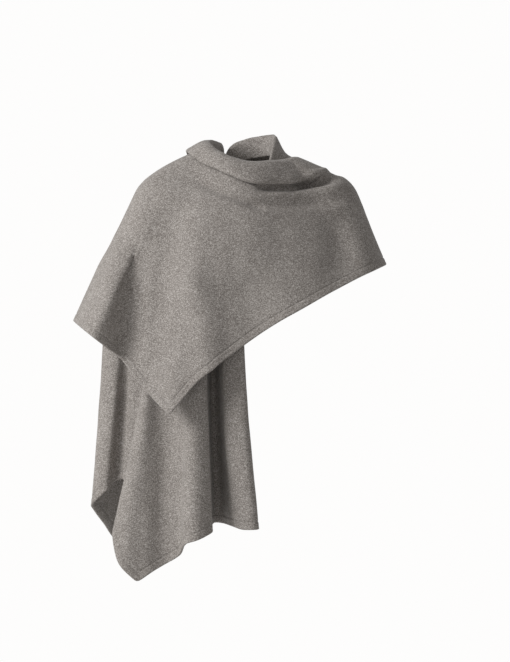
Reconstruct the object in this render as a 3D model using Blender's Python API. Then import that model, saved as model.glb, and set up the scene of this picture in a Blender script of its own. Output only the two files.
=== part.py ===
# A stole of thick felted wool, worn wrapped round the shoulders. The cloth is one long sheet, built
# here as one named wall for each stretch that shows, and a turned hem along each edge that shows.
# Metres, +Z up, the front of the garment at -Y. The origin is the middle of the neck opening.

import math

import bpy
import numpy as np
from mathutils import Vector
from mathutils.bvhtree import BVHTree

# Driving dimensions
CLOTH = 0.0024        # thickness of the felted cloth
HEM_WIDTH = 0.016     # cloth turned in along an edge
HEM_THICKNESS = 0.0014
SEAM_GAP = 0.0003     # between neighbouring solids
MITRE_GAP = 0.003     # between one turned hem and the next at a bend or corner
LAYER_STEP = 0.0052   # from the middle of one layer to the middle of the next
UNDER_LIFT = 0.004    # how far the inner layer lies off the figure
OVER_LIFT = 0.010     # how far the outer layer lies off the figure
LEG_INWARD = 0.010    # the cowl's inner leg, towards the neck
LEG_DROP = 0.034      # and down inside it
LEG_POINTS = ((1.0, 1.0), (1.05, 0.62), (0.8, 0.22))    # shares of both, from its edge up
ROW_STEP = 0.042      # widest spacing of the sections along the hem
PANEL_STEPS = 11      # spaces from the pleat to the hem's stitching
PATH_STEPS = 130      # samples of one section's route over the figure
NECK_AXIS = (0.0, 0.015)
RISE_START = -0.010   # beside the pleat, where the cloth rises over the shoulder
RISE_REACH = 0.125    # and how far along the section it lies flat again
CREST_CLEARANCE = 0.0005
COLLAR_INWARD = 0.004     # the collar's inner edge, from its top towards the neck
COLLAR_DROP = 0.042       # and down from its top
FLAT_REACHES = (0.030, 0.020, 0.010)    # inner points of a plain section, towards the neck
FULL_LAP = 0.012      # a cowl that laps this far turns fully under
PLEAT_END = 0.004     # the panel starts this far below the pleat
ROUTE_REACH = 0.012   # half the length over which a route's direction is taken
RAY_HEIGHT = 0.4      # above the whole garment
LEAN_GAIN = 5.0       # how a section's lean is shared out along it
LEAN_FADE = 1.3
FRONT_LINE = 0.07     # the front folds are gone behind here
FRONT_FADE = 0.06
FOLD_SPREAD = 1.6     # a fold's half width to its foot
FOLD_LENGTH = 1.15    # a fold fades a little beyond its last point
FOLD_FADE = 0.3
EDGE_HEM_SHARE = 0.8  # of the space between two sections, the most that the free edge's hem takes
GLANCE = 0.25         # how far to each side of a section, in rows, its slope is taken

# A general figure, used only to work out where the cloth lies: balls along each limb
# name, ax, ay, az, bx, by, bz, ra, rb
LIMBS = (
    ("right shoulder", 0.000, 0.015, -0.047, -0.165, 0.010, -0.082, 0.050, 0.060),
    ("left shoulder", 0.000, 0.015, -0.047, 0.165, 0.010, -0.082, 0.050, 0.062),
    ("right upper arm", -0.165, 0.010, -0.082, -0.240, 0.010, -0.330, 0.060, 0.048),
    ("left upper arm", 0.165, 0.010, -0.082, 0.240, 0.010, -0.330, 0.063, 0.058),
)
LIMB_BALLS = 14
# name, x, y, z, rx, ry, rz
TRUNK = (
    ("chest", 0.000, -0.010, -0.260, 0.160, 0.122, 0.235),
    ("back", 0.000, 0.030, -0.220, 0.150, 0.100, 0.215),
)

# One row for each section of the cloth, from the turned edge at the front round to the end at the back.
# The crest is where the section leaves the neck, the hem is where it ends. A row that carries
# the cowl has the distance from crest to pleat, how far the cowl stands proud and how far it laps over.
# Lean moves the middle of a section sideways, and rise lifts it over the shoulder below the pleat.
# name, leg, crest x, y, z, hem x, y, z, lift, pleat, proud, lap, lean, rise
SECTIONS = (
    ("turned edge", "flat", -0.042, -0.078, -0.06, -0.016, -0.125, -0.739, 0, 0, 0, 0, -0.022, 0),
    ("turned middle", "flat", -0.030, -0.081, -0.06, 0.010, -0.131, -0.742, 0, 0, 0, 0, -0.021, 0),
    ("inner edge", "flat", -0.020, -0.085, -0.06, 0.0270, -0.153, -0.744, 0, 0, 0, 0, -0.019, 0),
    ("inner edge front", "flat", -0.024, -0.086, -0.06, 0.0190, -0.166, -0.745, 0, 0, 0, 0, -0.019, 0),
    ("right ridge", "flat", -0.036, -0.084, -0.06, -0.006, -0.157, -0.745, 0, 0, 0, 0, -0.016, 0),
    ("valley side", "flat", -0.048, -0.081, -0.06, -0.026, -0.134, -0.739, 0, 0, 0, 0, -0.018, 0),
    ("deep valley", "flat", -0.058, -0.077, -0.06, -0.045, -0.088, -0.735, 0, 0, 0, 0, -0.012, 0),
    ("valley floor", "flat", -0.067, -0.073, -0.06, -0.063, -0.084, -0.734, 0, 0, 0, 0, -0.009, 0),
    ("behind the ridge", "flat", -0.074, -0.070, -0.06, -0.0715, -0.137, -0.741, 0, 0, 0, 0, -0.008, 0),
    ("sharp ridge", "flat", -0.079, -0.067, -0.06, -0.0675, -0.161, -0.750, 0, 0, 0, 0, -0.009, 0),
    ("ridge crown", "flat", -0.085, -0.064, -0.06, -0.079, -0.176, -0.757, 0, 0, 0, 0, -0.007, 0),
    ("middle ridge", "flat", -0.092, -0.060, -0.06, -0.100, -0.182, -0.768, 0, 0, 0, 0, -0.004, 0),
    ("ridge lip", "flat", -0.097, -0.057, -0.06, -0.1195, -0.172, -0.776, 0, 0, 0, 0, 0, 0),
    ("soft valley", "flat", -0.104, -0.053, -0.06, -0.136, -0.153, -0.7985, 0, 0, 0, 0, 0.008, 0),
    ("before the tip", "flat", -0.116, -0.045, -0.06, -0.175, -0.151, -0.822, 0, 0, 0, 0, 0.016, 0),
    ("tip", "flat", -0.130, -0.034, -0.06, -0.2200, -0.155, -0.853, 0, 0, 0, 0, 0.024, 0),
    ("after the tip", "flat", -0.138, -0.022, -0.06, -0.256, -0.144, -0.816, 0, 0, 0, 0, 0.028, 0),
    ("front ridge", "flat", -0.143, -0.010, -0.06, -0.2695, -0.122, -0.762, 0, 0, 0, 0, 0.03, 0),
    ("ridge back", "flat", -0.143, -0.003, -0.06, -0.260, -0.090, -0.724, 0, 0, 0, 0, 0.03, 0),
    ("inward fold", "flat", -0.142, 0.003, -0.06, -0.240, -0.076, -0.692, 0, 0, 0, 0, 0.028, 0),
    ("fold turn", "flat", -0.143, 0.008, -0.06, -0.238, -0.058, -0.664, 0, 0, 0, 0, 0.026, 0),
    ("side start", "flat", -0.145, 0.013, -0.06, -0.2575, -0.040, -0.646, 0, 0, 0, 0, 0.016, 0),
    ("side middle", "flat", -0.145, 0.019, -0.06, -0.290, -0.048, -0.674, 0, 0, 0, 0, 0.005, 0),
    ("side edge", "flat", -0.142, 0.025, -0.06, -0.3150, -0.028, -0.698, 0, 0, 0, 0, 0, 0),
    ("side turn", "flat", -0.136, 0.032, -0.06, -0.313, 0.002, -0.712, 0, 0, 0, 0, 0, 0),
    ("hip side", "flat", -0.128, 0.040, -0.06, -0.294, 0.032, -0.741, 0, 0, 0, 0, 0, 0),
    ("hip back", "flat", -0.118, 0.048, -0.06, -0.268, 0.066, -0.777, 0, 0, 0, 0, 0, 0),
    ("back right", "flat", -0.106, 0.060, -0.06, -0.222, 0.100, -0.788, 0, 0, 0, 0, 0, 0),
    ("back trough", "flat", -0.092, 0.072, -0.06, -0.168, 0.122, -0.746, 0, 0, 0, 0, 0, 0),
    ("back ridge", "flat", -0.074, 0.084, -0.02, -0.095, 0.146, -0.672, 0, 0, 0, 0, 0, 0),
    ("back middle", "nape", -0.040, 0.104, 0.012, -0.045, 0.142, -0.552, 0, 0, 0, 0, 0, 0),
    ("back left", "nape", 0.000, 0.112, 0.022, -0.002, 0.148, -0.352, 0.1, 0, 0, 0, 0, 0),
    ("nape left", "nape", 0.040, 0.106, 0.018, 0.085, 0.140, -0.290, 0.3, 0, 0, 0, 0, 0),
    ("shoulder blade", "nape", 0.078, 0.084, 0.010, 0.162, 0.126, -0.252, 0.6, 0, 0, 0, 0, 0),
    ("left arm back", "nape", 0.102, 0.042, 0.014, 0.240, 0.084, -0.216, 0.9, 0, 0, 0, 0, 0),
    ("left arm", "nape", 0.112, 0.002, 0.018, 0.2900, 0.006, -0.203, 1, 0.050, 0, 0, 0, 0),
    ("left arm front", "nape", 0.099, -0.026, 0.019, 0.270, -0.074, -0.214, 1, 0.058, 0.003, 0, 0, 0),
    ("left chest", "nape", 0.078, -0.045, 0.0135, 0.207, -0.119, -0.244, 1, 0.060, 0.007, 0, 0, 0),
    ("chest", "roll", 0.046, -0.064, 0.010, 0.121, -0.156, -0.293, 1, 0.057, 0.011, 0.003, 0, 0),
    ("middle front", "roll", 0.0225, -0.073, 0.008, 0.035, -0.168, -0.342, 1, 0.050, 0.013, 0.012, 0, 0),
    ("right front", "roll", 0.000, -0.075, 0.010, -0.035, -0.176, -0.394, 1, 0.043, 0.013, 0.017, 0, 0),
    ("right breast", "roll", -0.016, -0.071, 0.0145, -0.0656, -0.180, -0.422, 1, 0.039, 0.013, 0.018, 0, 0),
    ("front fall", "roll", -0.0316, -0.065, 0.019, -0.0964, -0.183, -0.445, 1, 0.037, 0.013, 0.018, 0, 0),
    ("before corner", "roll", -0.046, -0.056, 0.026, -0.119, -0.187, -0.4695, 1, 0.037, 0.013, 0.018, 0, 0),
    ("corner", "roll", -0.0595, -0.045, 0.033, -0.1540, -0.192, -0.5125, 1, 0.038, 0.013, 0.018, 0, 0),
    ("short edge low", "roll", -0.067, -0.036, 0.040, -0.211, -0.134, -0.453, 1, 0.039, 0.013, 0.018, 0, 0.002),
    ("short edge", "roll", -0.073, -0.025, 0.046, -0.256, -0.114, -0.394, 1, 0.041, 0.012, 0.018, 0, 0.004),
    ("arm trough", "roll", -0.076, -0.013, 0.050, -0.285, -0.121, -0.373, 1, 0.045, 0.011, 0.017, 0, 0.005),
    ("arm front", "roll", -0.0755, 0.000, 0.053, -0.318, -0.124, -0.3475, 1, 0.049, 0.01, 0.016, 0, 0.0055),
    ("arm", "roll", -0.070, 0.020, 0.056, -0.3530, -0.008, -0.321, 1, 0.055, 0.008, 0.013, 0, 0.0055),
    ("arm back", "roll", -0.066, 0.036, 0.056, -0.334, 0.056, -0.332, 1, 0.060, 0.007, 0.008, 0, 0.005),
    ("blade side", "roll", -0.062, 0.050, 0.055, -0.275, 0.116, -0.364, 1, 0.066, 0.007, 0.003, 0, 0.003),
    ("blade", "roll", -0.058, 0.062, 0.053, -0.188, 0.154, -0.400, 1, 0.066, 0.006, 0, 0, 0.002),
    ("end corner", "roll", -0.053, 0.074, 0.051, -0.100, 0.172, -0.430, 1, 0.066, 0.005, 0, 0, 0.0),
)
# Where the collar stands at the nape and the left of the neck, and the hollow outside it
# name, top x, y, z, hollow x, y, z
COLLAR = {
    "back middle": (-0.034, 0.080, 0.038, -0.037, 0.094, 0.026),
    "back left": (0.000, 0.084, 0.060, 0.000, 0.099, 0.044),
    "nape left": (0.030, 0.078, 0.066, 0.035, 0.093, 0.043),
    "shoulder blade": (0.051, 0.060, 0.068, 0.064, 0.072, 0.038),
    "left arm back": (0.061, 0.032, 0.067, 0.080, 0.036, 0.033),
    "left arm": (0.061, 0.004, 0.058, 0.085, 0.002, 0.021),
    "left arm front": (0.057, -0.024, 0.040, 0.076, -0.024, 0.010),
    "left chest": (0.050, -0.044, 0.012, 0.063, -0.042, -0.002),
}
CORNERS = ("tip", "corner")
FOLDS_FROM = "left arm"    # the soft folds of the front grow from this section on

# How a section turns at the pleat
# share of the pleat distance, shift where flat, shift where lapped, share of the lap, share of the height
PLEAT_TURNS = (
    (0.22, 0.0, 0.0, 0.0, 0.72),
    (0.50, 0.0, 0.0, 0.0, 1.00),
    (0.80, 0.0, 0.0, 0.0, 1.02),
    (1.00, -0.0020, -0.0030, 0.0, 0.96),
    (1.00, 0.0010, 0.0020, 0.0, 0.74),
    (1.00, 0.0040, 0.0022, 0.15, 0.42),
    (1.00, 0.0065, -0.0005, 0.7, 0.27),
    (1.00, 0.0085, -0.0035, 1.0, 0.16),
    (1.00, 0.0105, 0.0010, 1.0, -0.04),
    (1.00, 0.0130, 0.0060, 0.4, -0.08),
)

# Soft folds of the crossing panel, in the front view: x and z from end to end, half width, depth
# name, ax, az, bx, bz, cx, cz, half width, depth
FOLDS = (
    ("trough by the arm", -0.220, -0.100, -0.234, -0.245, -0.245, -0.404, 0.029, -0.018),
    ("swell over the arm", -0.285, -0.150, -0.312, -0.256, -0.336, -0.330, 0.030, 0.004),
    ("slope of the breast", -0.128, -0.020, -0.137, -0.120, -0.132, -0.250, 0.044, 0.005),
    ("fullness of the breast", -0.092, -0.030, -0.108, -0.120, -0.112, -0.260, 0.058, 0.014),
    ("turn to the left arm", 0.206, -0.080, 0.198, -0.130, 0.192, -0.230, 0.034, -0.010),
    ("crest of the front", -0.112, -0.200, -0.082, -0.310, -0.070, -0.480, 0.030, 0.010),
    ("trough above the hem", 0.004, -0.200, 0.010, -0.300, 0.020, -0.390, 0.050, -0.008),
)

# Stretches of the sheet, each one solid: name, first section, last section, carries the cowl
STRETCHES = (
    ("end_front", "turned edge", "front ridge", False),
    ("side_fold", "front ridge", "side edge", False),
    ("back_wrap", "side edge", "left arm", False),
    ("wrap_front", "left arm", "arm", True),
    ("end_over_shoulder", "arm", "end corner", True),
)
# Turned hems: name, stretch, first section, last section
HEMS = (
    ("hem_end_front", "end_front", "turned edge", "tip"),
    ("hem_tip", "end_front", "tip", "front ridge"),
    ("hem_side", "side_fold", "front ridge", "side edge"),
    ("hem_back", "back_wrap", "side edge", "left arm"),
    ("hem_wrap_front", "wrap_front", "left arm", "corner"),
    ("hem_short_edge", "wrap_front", "corner", "arm"),
    ("hem_short_edge_back", "end_over_shoulder", "arm", "end corner"),
)
FREE_EDGE_HEM = "hem_free_edge"
FREE_EDGE_START = 8   # the free edge's hem begins this many points down from the neck

# Finishes: base colour, roughness
FELT = (0.262, 0.243, 0.228)
FELT_INSIDE = (0.215, 0.200, 0.188)
FELT_ROUGHNESS = 0.93

NAMES = [row[0] for row in SECTIONS]


def smooth(t):
    """Ease from 0 to 1 with level ends."""
    t = np.clip(t, 0.0, 1.0)
    return t * t * (3.0 - 2.0 * t)


def figure_top(x, y, lift):
    """Height of the figure's upper surface under x, y, swollen by lift; far below where there is none."""
    top = np.full(np.shape(x), -9.0)
    for _, ax, ay, az, bx, by, bz, ra, rb in LIMBS:
        for k in range(LIMB_BALLS):
            t = k / (LIMB_BALLS - 1)
            radius = ra + (rb - ra) * t + lift
            span = radius ** 2 - (x - ax - (bx - ax) * t) ** 2 - (y - ay - (by - ay) * t) ** 2
            height = az + (bz - az) * t + np.sqrt(np.maximum(span, 0.0))
            top = np.where(span > 0.0, np.maximum(top, height), top)
    for _, cx, cy, cz, rx, ry, rz in TRUNK:
        span = 1.0 - ((x - cx) / (rx + lift)) ** 2 - ((y - cy) / (ry + lift)) ** 2
        height = cz + (rz + lift) * np.sqrt(np.maximum(span, 0.0))
        top = np.where(span > 0.0, np.maximum(top, height), top)
    return top


def neckward(x, y):
    """Unit vector, level, from x, y towards the neck's axis."""
    dx = NECK_AXIS[0] - x
    dy = NECK_AXIS[1] - y
    length = math.hypot(dx, dy)
    return dx / length, dy / length


def guide_points(row):
    """The five points that lead one section: edge, collar top, hollow, crest and hem."""
    name, leg, cx, cy, cz, hx, hy, hz, share = row[:9]
    lift = UNDER_LIFT + (OVER_LIFT - UNDER_LIFT) * share
    nx, ny = neckward(cx, cy)
    crest_z = max(cz, float(figure_top(np.array(cx), np.array(cy), lift)) + CREST_CLEARANCE)
    crest = (cx, cy, crest_z)
    if leg == "nape":
        kx, ky, kz, wx, wy, wz = COLLAR[name]
        inx, iny = neckward(kx, ky)
        edge = (kx + COLLAR_INWARD * inx, ky + COLLAR_INWARD * iny, kz - COLLAR_DROP)
        return edge, (kx, ky, kz), (wx, wy, wz), crest, (hx, hy, hz)
    if leg == "roll":
        points = [(cx + LEG_INWARD * k * nx, cy + LEG_INWARD * k * ny, crest_z - LEG_DROP * drop)
                  for k, drop in LEG_POINTS]
        return points[0], points[1], points[2], crest, (hx, hy, hz)
    points = []
    for reach in FLAT_REACHES:
        px = cx + reach * nx
        py = cy + reach * ny
        top = float(figure_top(np.array(px), np.array(py), lift))
        points.append((px, py, max(top, crest_z - reach)))
    return points[0], points[1], points[2], crest, (hx, hy, hz)


def spline(a, b, c, d, t):
    """Catmull-Rom point between b and c."""
    return 0.5 * (2.0 * b + (c - a) * t + (2.0 * a - 5.0 * b + 4.0 * c - d) * t ** 2
                  + (3.0 * b - a - 3.0 * c + d) * t ** 3)


def row_at(values, place):
    """Rows of numbers read at a fractional place, sharp where the sheet has a corner."""
    last = len(values) - 1
    i = min(int(place), last - 1)
    b = values[i]
    c = values[i + 1]
    a = values[i - 1] if i > 0 and NAMES[i] not in CORNERS else 2.0 * b - c
    d = values[i + 2] if i + 2 <= last and NAMES[i + 1] not in CORNERS else 2.0 * c - b
    return spline(a, b, c, d, place - i)


def taut(crest, hem, lift, sheet):
    """Route from crest to hem: stretched over the figure and the layer below, then straight."""
    across = np.array(hem[:2]) - np.array(crest[:2])
    length = np.linalg.norm(across)
    d = np.linspace(0.0, length, PATH_STEPS)
    x = crest[0] + across[0] * d / length
    y = crest[1] + across[1] * d / length
    z = figure_top(x, y, lift)
    if sheet is not None:
        for k in range(PATH_STEPS):
            hit = sheet.ray_cast(Vector((x[k], y[k], RAY_HEIGHT)), Vector((0.0, 0.0, -1.0)))[0]
            if hit is not None:
                z[k] = max(z[k], hit.z)
    z[0] = crest[2]
    z[-1] = hem[2]
    hull = []
    for k in range(PATH_STEPS):
        point = (d[k], z[k])
        while len(hull) > 1:
            ux = hull[-1][0] - hull[-2][0]
            uz = hull[-1][1] - hull[-2][1]
            if ux * (point[1] - hull[-2][1]) - uz * (point[0] - hull[-2][0]) < 0.0:
                break
            hull.pop()
        hull.append(point)
    hull = np.array(hull)
    return hull, across / length


def along(hull, s):
    """Points of the route at distances s, with the outward direction there."""
    steps = np.linalg.norm(np.diff(hull, axis=0), axis=1)
    reach = np.concatenate(([0.0], np.cumsum(steps)))
    points = np.column_stack([np.interp(s, reach, hull[:, k]) for k in range(2)])
    ahead = np.column_stack([np.interp(s + ROUTE_REACH, reach, hull[:, k]) for k in range(2)])
    behind = np.column_stack([np.interp(s - ROUTE_REACH, reach, hull[:, k]) for k in range(2)])
    tangent = ahead - behind
    tangent /= np.linalg.norm(tangent, axis=1)[:, None]
    return points, np.column_stack((-tangent[:, 1], tangent[:, 0]))


def stations(length, pleat, proud, lap, cowl):
    """Distances along a section and how far each point stands off the route."""
    if not cowl:
        s = np.linspace(0.0, length - HEM_WIDTH, PANEL_STEPS + 3)[1:]
        return np.append(s, length), np.zeros(PANEL_STEPS + 3)
    full = min(lap / FULL_LAP, 1.0)
    s = [pleat * a + (b + (c - b) * full) - lap * e for a, b, c, e, _ in PLEAT_TURNS]
    n = [proud * h for _, _, _, _, h in PLEAT_TURNS]
    start = s[-1] if lap == 0.0 else pleat + PLEAT_END
    rest = np.linspace(start, length - HEM_WIDTH, PANEL_STEPS + 1)[1:]
    s = np.concatenate((s, rest, [length]))
    n = np.concatenate((n, np.zeros(PANEL_STEPS + 1)))
    return s, n


GUIDES = [np.array(points) for points in zip(*[guide_points(row) for row in SECTIONS])]
EXTRAS = np.array([row[8:] for row in SECTIONS], dtype=float)


def section(place, cowl, sheet):
    """One section of the sheet: points from its inner edge to its hem."""
    edge, top, hollow, crest, hem = [row_at(values, place) for values in GUIDES]
    share, pleat, proud, lap, lean, rise = row_at(EXTRAS, place)
    share, pleat, proud, lap = np.maximum((share, pleat, proud, lap), 0.0)
    lift = UNDER_LIFT + (OVER_LIFT - UNDER_LIFT) * min(share, 1.0)
    hull, across = taut(crest, hem, lift, sheet)
    length = np.sum(np.linalg.norm(np.diff(hull, axis=0), axis=1))
    s, n = stations(length, pleat, proud, lap, cowl)
    flat, out = along(hull, s)
    flat = flat + out * n[:, None]
    from_pleat = (s - pleat - RISE_START) / RISE_REACH
    flat[:, 1] += rise * np.sin(math.pi * np.clip(from_pleat, 0.0, 1.0))
    body = np.column_stack((crest[0] + across[0] * flat[:, 0], crest[1] + across[1] * flat[:, 0], flat[:, 1]))
    t = s / length
    body[:, 0] += LEAN_GAIN * lean * t * (1.0 - t) ** LEAN_FADE
    lead = [2.0 * edge - top, edge, top, hollow, crest, body[1 if cowl else 0]]
    inner = []
    for k in range(1, 4):
        for t in (0.0, 0.5):
            inner.append(spline(lead[k - 1], lead[k], lead[k + 1], lead[k + 2], t))
    inner.append(crest)
    return np.vstack((inner, body))


def places(first, last):
    """Fractional places of a stretch's sections, none wider apart than ROW_STEP along the hem."""
    start = NAMES.index(first)
    found = []
    for i in range(start, NAMES.index(last)):
        gap = np.linalg.norm(GUIDES[4][i + 1] - GUIDES[4][i])
        count = max(1, math.ceil(gap / ROW_STEP))
        found += [i + k / count for k in range(count)]
    return found + [float(NAMES.index(last))]


def fold_depth(points):
    """How far the named folds move the front of the crossing panel."""
    depth = np.zeros(points.shape[:2])
    x = points[..., 0]
    z = points[..., 2]
    for _, ax, az, bx, bz, cx, cz, half, deep in FOLDS:
        nearest = np.full(depth.shape, 9.0)
        fade = np.zeros(depth.shape)
        for k, (px, pz, qx, qz) in enumerate(((ax, az, bx, bz), (bx, bz, cx, cz))):
            span = (qx - px) ** 2 + (qz - pz) ** 2
            t = ((x - px) * (qx - px) + (z - pz) * (qz - pz)) / span
            held = np.clip(t, 0.0, 1.0)
            away = np.hypot(x - px - held * (qx - px), z - pz - held * (qz - pz))
            closer = away < nearest
            whole = (k + held) / 2.0
            fade = np.where(closer, smooth(np.minimum(whole, FOLD_LENGTH - whole) / FOLD_FADE), fade)
            nearest = np.minimum(nearest, away)
        depth += deep * fade * (1.0 - smooth(nearest / (FOLD_SPREAD * half)))
    return depth


def facing_of(grid, ahead, behind):
    """Outward directions of a grid of points, from the sections just before and after each."""
    n = np.cross(ahead - behind, np.gradient(grid, axis=1))
    return n / np.maximum(np.linalg.norm(n, axis=2), 1e-12)[..., None]


def stretch(first, last, cowl, sheet):
    """A stretch of the sheet: its points, folds pressed in, and the outward direction at each."""
    found = np.array(places(first, last))
    grids = []
    for shift in (0.0, GLANCE, -GLANCE):
        near = np.clip(found + shift, 0.0, len(SECTIONS) - 1.0)
        grids.append(np.array([section(place, cowl, sheet) for place in near]))
    facing = facing_of(*grids)
    if cowl:
        begun = smooth(found - NAMES.index(FOLDS_FROM))[:, None]
        pressed = []
        for grid in grids:
            front = smooth((FRONT_LINE - grid[..., 1]) / FRONT_FADE) * begun
            pressed.append(grid + facing * (fold_depth(grid) * front)[..., None])
        grids = pressed
        facing = facing_of(*grids)
    return grids[0], facing


def solid(name, outer, inner, colour):
    """A closed wall between two grids of points of the same size; both ends are split the same way."""
    rows, columns = outer.shape[:2]
    count = rows * columns
    points = np.vstack((outer.reshape(-1, 3), inner.reshape(-1, 3)))
    faces = []
    for i in range(rows - 1):
        for j in range(columns - 1):
            a = i * columns + j
            b = a + columns
            faces.append((a, b, b + 1, a + 1))
            faces.append((a + count, a + 1 + count, b + 1 + count, b + count))
    rim = [(0, j) for j in range(columns)] + [(i, columns - 1) for i in range(1, rows)]
    rim += [(rows - 1, j) for j in range(columns - 2, -1, -1)] + [(i, 0) for i in range(rows - 2, 0, -1)]
    for k, (i, j) in enumerate(rim):
        m, n = rim[(k + 1) % len(rim)]
        a = i * columns + j
        b = m * columns + n
        if i == m == rows - 1:
            faces += [(a, b, a + count), (b, b + count, a + count)]
        else:
            faces += [(a, b, b + count), (a, b + count, a + count)]
    mesh = bpy.data.meshes.new(name)
    mesh.from_pydata(points.tolist(), [], faces)
    mesh.shade_smooth()
    mesh.validate()
    mesh.update()
    part = bpy.data.objects.new(name, mesh)
    bpy.context.scene.collection.objects.link(part)
    mesh.materials.append(finish(name, colour))
    return part


def finish(name, colour):
    """Matt felted wool."""
    material = bpy.data.materials.new(name + "_felt")
    material.use_nodes = True
    shader = material.node_tree.nodes["Principled BSDF"]
    shader.inputs["Base Color"].default_value = (*colour, 1.0)
    shader.inputs["Roughness"].default_value = FELT_ROUGHNESS
    shader.inputs["Metallic"].default_value = 0.0
    return material


def parted(grid, start, end, gap):
    """Draw the first and last rows in by half the gap, where a neighbour meets them."""
    grid = grid.copy()
    for wanted, row, inward in ((start, 0, 1), (end, -1, -2)):
        if wanted:
            toward = grid[inward] - grid[row]
            reach = np.maximum(np.linalg.norm(toward, axis=1), 1e-9)
            grid[row] = grid[row] + toward * (gap / 2.0 / reach)[:, None]
    return grid


def cloth_wall(name, sheet, start, end):
    """The wall of one stretch, about the middle of its cloth."""
    grid, facing = sheet
    out = facing * CLOTH / 2.0
    outer = parted(grid + out, start, end, SEAM_GAP)
    return solid(name, outer, parted(grid - out, start, end, SEAM_GAP), FELT)


def hem_wall(name, sheet, rows, start, end):
    """The turned hem inside a stretch's lower edge, a little clear of the cloth."""
    grid, facing = sheet
    out = facing[rows, -2:]
    near = grid[rows, -2:] - out * (CLOTH / 2.0 + SEAM_GAP)
    far = near - out * HEM_THICKNESS
    return solid(name, parted(near, start, end, MITRE_GAP), parted(far, start, end, MITRE_GAP), FELT_INSIDE)


def free_edge_hem(sheet):
    """The turned hem inside the long edge that falls down the back."""
    grid, facing = sheet
    toward = grid[-2] - grid[-1]
    reach = np.maximum(np.linalg.norm(toward, axis=1), 1e-9)
    inside = grid[-1] + toward * np.minimum(HEM_WIDTH / reach, EDGE_HEM_SHARE)[:, None]
    out = np.stack((facing[-1], facing[-1]))[:, FREE_EDGE_START:-1]
    near = np.stack((inside, grid[-1]))[:, FREE_EDGE_START:-1] - out * (CLOTH / 2.0 + SEAM_GAP)
    return solid(FREE_EDGE_HEM, near, near - out * HEM_THICKNESS, FELT_INSIDE)


def layer_tree(sheets):
    """The inner layer's outer side, moved out by one layer, for the outer layer to lie on."""
    points = []
    faces = []
    for grid, facing in sheets:
        lifted = grid + facing * LAYER_STEP
        rows, columns = lifted.shape[:2]
        base = len(points)
        points += [Vector(point) for point in lifted.reshape(-1, 3)]
        for i in range(rows - 1):
            for j in range(columns - 1):
                a = base + i * columns + j
                faces.append((a, a + 1, a + columns + 1, a + columns))
    return BVHTree.FromPolygons(points, faces)


def build():
    """Work out the sheet from the inside layer outwards, then make every solid."""
    for old in list(bpy.data.objects):
        bpy.data.objects.remove(old, do_unlink=True)
    sheets = {}
    for name, first, last, cowl in STRETCHES[:3]:
        sheets[name] = stretch(first, last, cowl, None)
    covered = places("side edge", "left arm").index(float(NAMES.index("back left"))) + 1
    back = tuple(part[:covered] for part in sheets["back_wrap"])
    below = layer_tree((sheets["end_front"], sheets["side_fold"], back))
    for name, first, last, cowl in STRETCHES[3:]:
        sheets[name] = stretch(first, last, cowl, below)
    for k, (name, _, _, _) in enumerate(STRETCHES):
        cloth_wall(name, sheets[name], k > 0, k < len(STRETCHES) - 1)
    for name, owner, first, last in HEMS:
        line = next(row for row in STRETCHES if row[0] == owner)
        found = places(line[1], line[2])
        begin = found.index(float(NAMES.index(first)))
        end = found.index(float(NAMES.index(last)))
        hem_wall(name, sheets[owner], slice(begin, end + 1), True, True)
    free_edge_hem(sheets["end_over_shoulder"])


build()
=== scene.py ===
import math

import bpy
import numpy as np
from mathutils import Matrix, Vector, noise
from mathutils.bvhtree import BVHTree


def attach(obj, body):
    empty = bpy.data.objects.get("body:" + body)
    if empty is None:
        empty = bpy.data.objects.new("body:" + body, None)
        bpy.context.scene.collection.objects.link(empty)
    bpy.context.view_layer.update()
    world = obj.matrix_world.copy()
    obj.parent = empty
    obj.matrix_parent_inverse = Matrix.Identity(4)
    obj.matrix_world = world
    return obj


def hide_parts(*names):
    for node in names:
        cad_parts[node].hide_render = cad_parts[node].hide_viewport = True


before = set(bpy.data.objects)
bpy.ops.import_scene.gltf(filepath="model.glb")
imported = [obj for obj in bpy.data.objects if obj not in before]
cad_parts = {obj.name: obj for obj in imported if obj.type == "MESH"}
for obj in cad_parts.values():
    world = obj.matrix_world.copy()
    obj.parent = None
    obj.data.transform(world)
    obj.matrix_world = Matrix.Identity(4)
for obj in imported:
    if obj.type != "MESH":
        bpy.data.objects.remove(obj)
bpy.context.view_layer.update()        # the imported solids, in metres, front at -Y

# A stole of thick felted wool, worn wrapped round the shoulders. The cloth is one long sheet: it starts
# at the front on the wearer's right, goes round the right side, the back and the left shoulder, across
# the chest with a cowl folded down at the neck, and ends over the right shoulder.

# A general figure that the cloth's route is worked out over; it isn't built
figure = {
    "neckAxis": (0.0, 0.015),
    "ballsPerLimb": 16,
    "limbs": (    # ax, ay, az, bx, by, bz, first radius, last radius
        (0.000, 0.015, -0.047, -0.165, 0.010, -0.082, 0.050, 0.060),
        (0.000, 0.015, -0.047, 0.165, 0.010, -0.082, 0.050, 0.062),
        (-0.165, 0.010, -0.082, -0.240, 0.010, -0.330, 0.060, 0.048),
        (0.165, 0.010, -0.082, 0.240, 0.010, -0.330, 0.063, 0.058),
    ),
    "trunk": (    # x, y, z, rx, ry, rz
        (0.000, -0.010, -0.260, 0.160, 0.122, 0.235),
        (0.000, 0.030, -0.220, 0.150, 0.100, 0.215),
    ),
}

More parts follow.
